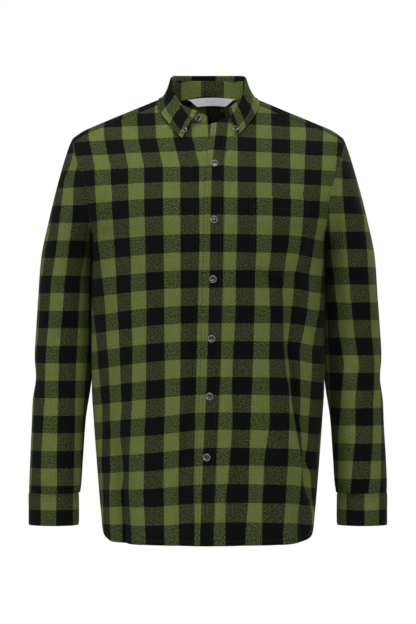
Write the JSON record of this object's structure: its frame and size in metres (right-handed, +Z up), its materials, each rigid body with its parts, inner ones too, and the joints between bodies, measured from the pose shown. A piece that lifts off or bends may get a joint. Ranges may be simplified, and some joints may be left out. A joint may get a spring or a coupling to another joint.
{
  "type": "flannel shirt",
  "caption": "Long sleeved button down flannel shirt in a green and black buffalo check, worn and hollow, with one chest pocket.",
  "frame": {"origin": "middle of the neck base, level with the highest points of the shoulders, where the wearer's shoulders hold the shirt", "axes": "+X towards the wearer's left, +Y towards the back, +Z up"},
  "size_m": [0.6156, 0.2923, 0.806],
  "materials": {
    "flannel": "brushed twill in a green and black buffalo check",
    "label": "woven satin, blank",
    "button": "pearly dark polyester"
  },
  "bodies": {
    "root": {"front_left": "flannel", "front_right": "flannel", "placket": "flannel", "back": "flannel", "yoke": "flannel", "sleeve_left": "flannel", "sleeve_right": "flannel", "cuff_left": "flannel", "cuff_right": "flannel", "sleeve_placket_left": "flannel", "sleeve_placket_right": "flannel", "collar_stand": "flannel", "collar_leaf": "flannel", "pocket": "flannel", "neck_label": "label", "button_front_1": "button", "button_front_2": "button", "button_front_3": "button", "button_front_4": "button", "button_front_5": "button", "button_front_6": "button", "button_stand": "button", "button_collar_left": "button", "button_collar_right": "button", "button_cuff_left": "button", "button_cuff_right": "button"}
  },
  "joints": []
}
